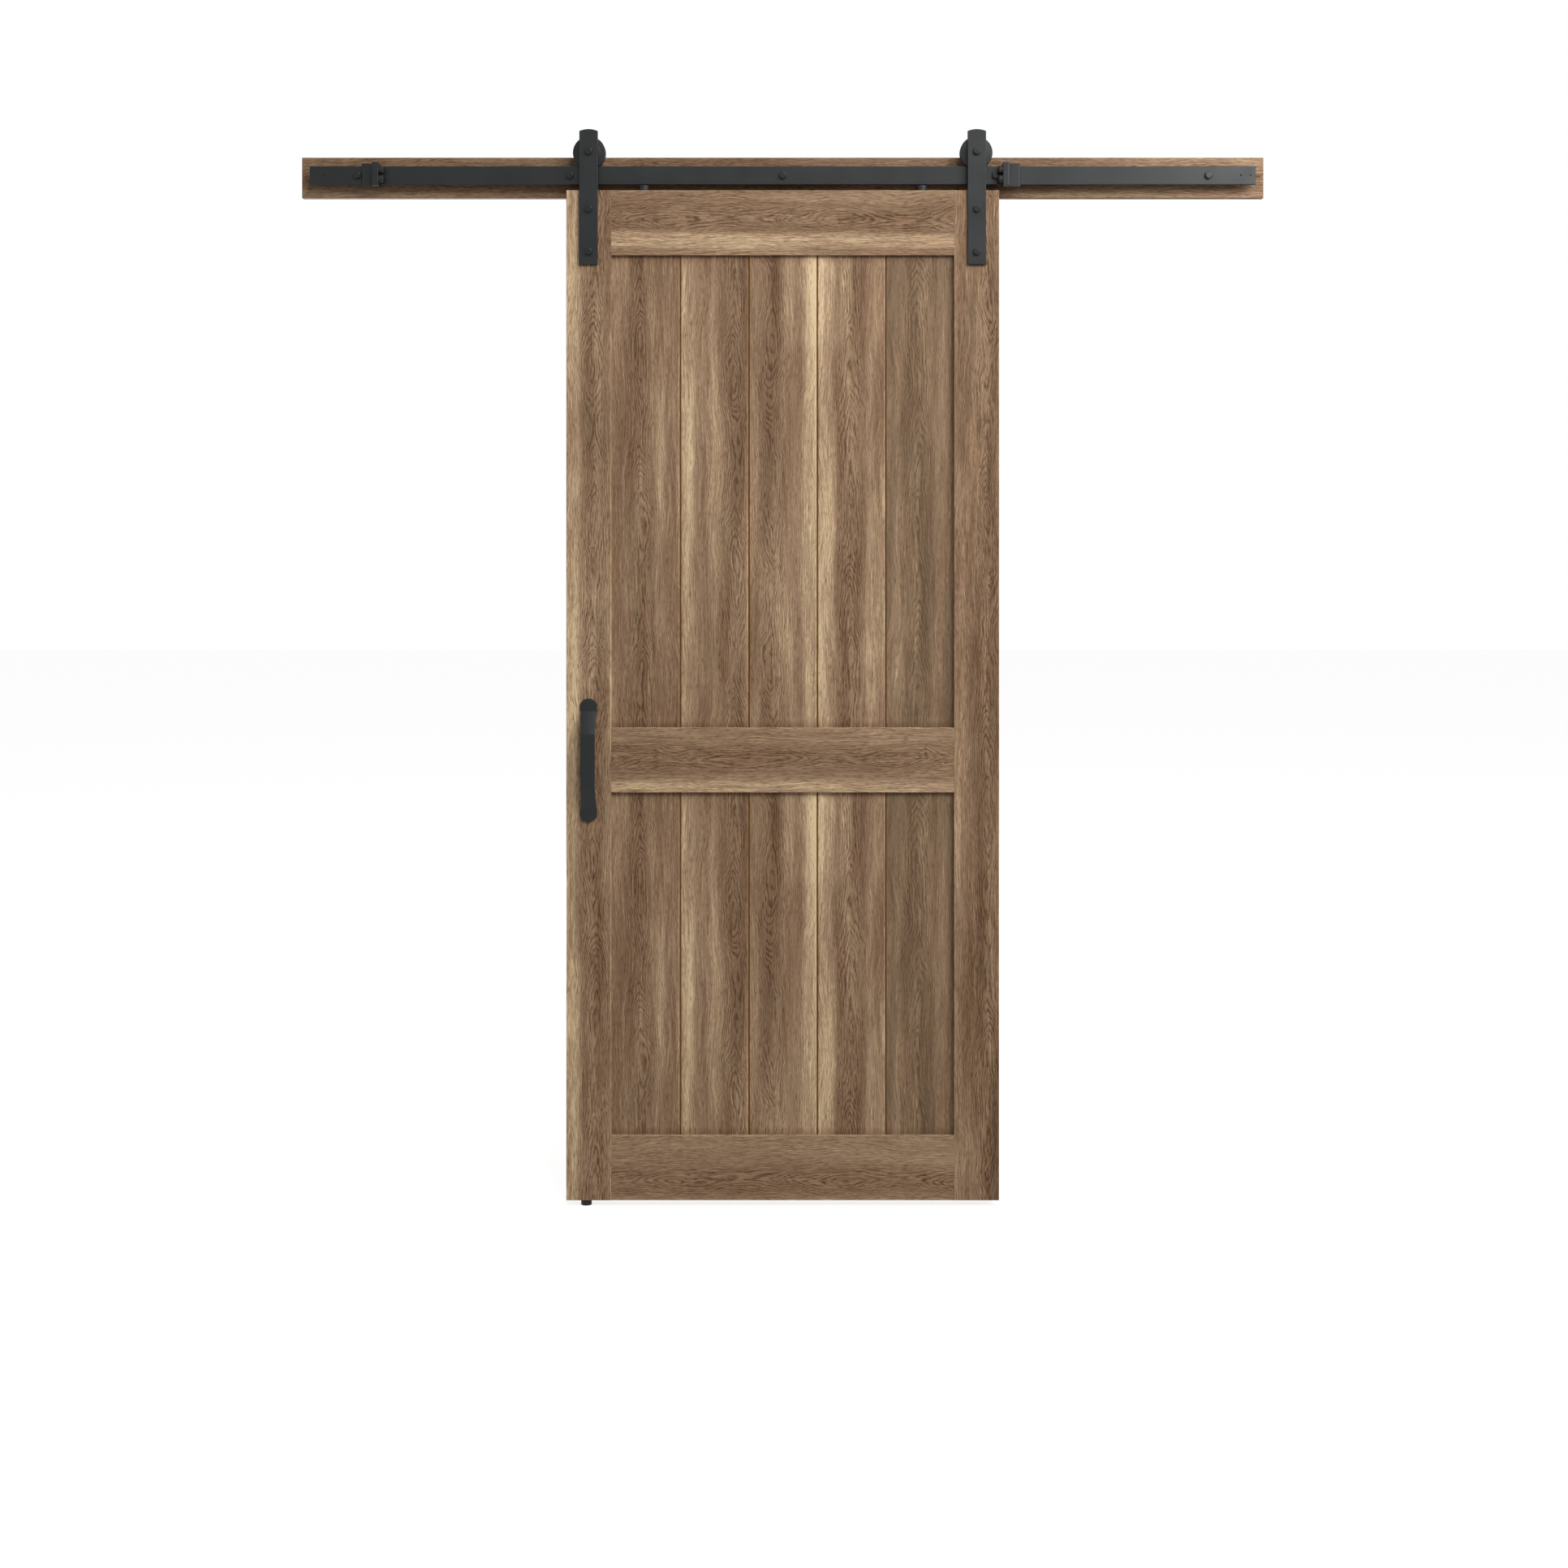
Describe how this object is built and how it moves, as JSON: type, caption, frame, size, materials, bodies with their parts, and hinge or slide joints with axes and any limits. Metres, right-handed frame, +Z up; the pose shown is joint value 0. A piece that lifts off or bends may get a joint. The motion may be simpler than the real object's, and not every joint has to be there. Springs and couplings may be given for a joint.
{
  "type": "sliding barn door with header board and rail",
  "caption": "Planked oak barn door leaf hanging by grooved wheels and flat steel straps from a flat rail on a header board, with end stops, pull handle and floor guide.",
  "frame": {"origin": "middle of the header board's back face, which lies on the wall", "axes": "+X to the right seen from the room, +Y into the wall, +Z up"},
  "size_m": [2.05, 0.093, 2.2749],
  "materials": {
    "oak_leaf": "weathered brown oak, matt",
    "oak_header": "weathered brown oak, matt",
    "black_steel": "black powder coat, fine texture",
    "black_fastener": "black coated steel",
    "black_rubber": "matt black rubber",
    "black_nylon": "turned black nylon",
    "bearing_steel": "ground steel races with black seals"
  },
  "bodies": {
    "track": {"header_board": "oak_header", "rail": "black_steel", "rail_spacer_1": "black_steel", "rail_spacer_2": "black_steel", "rail_spacer_3": "black_steel", "rail_spacer_4": "black_steel", "rail_spacer_5": "black_steel", "rail_bolts": "black_fastener", "stop_left": "black_steel", "stop_right": "black_steel", "stop_bumpers_left": "black_rubber", "stop_bumpers_right": "black_rubber", "stop_set_screws_left": "black_fastener", "stop_set_screws_right": "black_fastener", "floor_guide": "black_nylon"},
    "door": {"strap_left": "black_steel", "strap_right": "black_steel", "handle": "black_steel", "axle_bush_left": "black_steel", "axle_bush_right": "black_steel", "strap_bolts_left": "black_fastener", "strap_bolts_right": "black_fastener", "strap_washers_left": "black_fastener", "strap_washers_right": "black_fastener", "strap_nuts_left": "black_fastener", "strap_nuts_right": "black_fastener", "axle_bolt_left": "black_fastener", "axle_bolt_right": "black_fastener", "axle_washer_left": "black_fastener", "axle_washer_right": "black_fastener", "axle_nut_left": "black_fastener", "axle_nut_right": "black_fastener", "anti_jump_screws": "black_fastener", "handle_screws": "black_fastener", "anti_jump_disc_left": "black_nylon", "anti_jump_disc_right": "black_nylon", "stile_left": "oak_leaf", "stile_right": "oak_leaf", "top_rail": "oak_leaf", "middle_rail": "oak_leaf", "bottom_rail": "oak_leaf", "upper_plank_1": "oak_leaf", "upper_plank_2": "oak_leaf", "upper_plank_3": "oak_leaf", "upper_plank_4": "oak_leaf", "upper_plank_5": "oak_leaf", "lower_plank_1": "oak_leaf", "lower_plank_2": "oak_leaf", "lower_plank_3": "oak_leaf", "lower_plank_4": "oak_leaf", "lower_plank_5": "oak_leaf"},
    "wheel_left": {"wheel_left": "black_steel", "wheel_bearing_left": "bearing_steel"},
    "wheel_right": {"wheel_right": "black_steel", "wheel_bearing_right": "bearing_steel"}
  },
  "joints": [
    {"name": "door_slide", "type": "slide", "parent": "track", "child": "door", "axis": [1, 0, 0], "range_m": [-0.413, 0.025]},
    {"name": "wheel_left_spin", "type": "hinge", "parent": "door", "child": "wheel_left", "pos_m": [-0.4097, -0.044, 0.0473], "axis": [0, 1, 0], "continuous": true},
    {"name": "wheel_right_spin", "type": "hinge", "parent": "door", "child": "wheel_right", "pos_m": [0.4097, -0.044, 0.0473], "axis": [0, 1, 0], "continuous": true}
  ],
  "couplings": [
    {"joint": "wheel_left_spin", "follows": "door_slide", "rad_per_m": 36.364},
    {"joint": "wheel_right_spin", "follows": "door_slide", "rad_per_m": 36.364}
  ]
}
